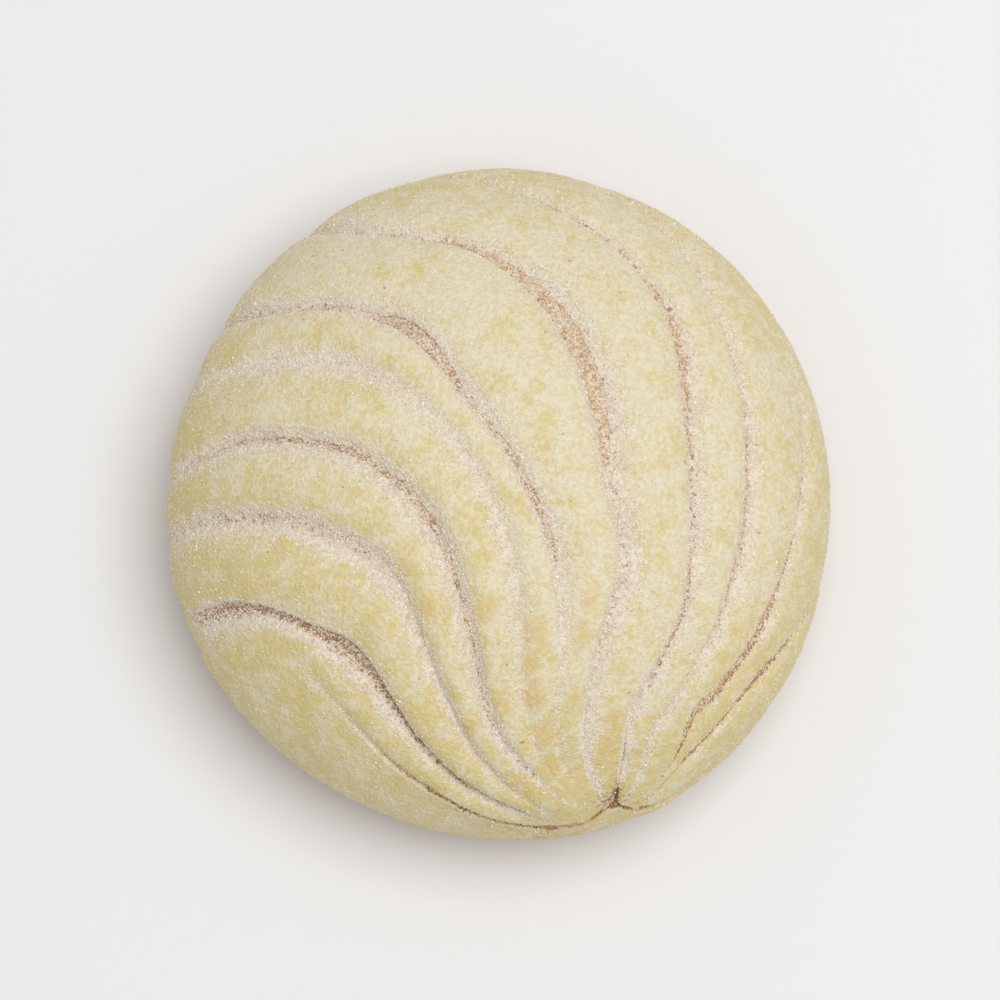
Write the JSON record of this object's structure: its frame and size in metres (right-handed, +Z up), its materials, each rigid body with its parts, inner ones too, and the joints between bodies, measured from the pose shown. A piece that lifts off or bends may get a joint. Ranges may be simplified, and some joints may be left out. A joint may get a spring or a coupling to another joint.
{
  "type": "concha",
  "caption": "Round sweet bread bun under a pale yellow sugar paste cut into curved ribs that fan from a hinge like a scallop shell, for a bakery tray or breakfast table.",
  "frame": {"origin": "middle of the flat underside, under the centre of the bounding box", "axes": "+Z up through the crown, -Y towards the hinge of the shell pattern, +X to the right seen from above with the hinge at the bottom"},
  "size_m": [0.1122, 0.1138, 0.0596],
  "materials": {
    "bread": "golden brown baked crust, satin",
    "sugar_paste": "pale yellow sugar paste, dry and grainy"
  },
  "bodies": {
    "root": {"bun": "bread", "sugar_paste": "sugar_paste"}
  },
  "joints": []
}
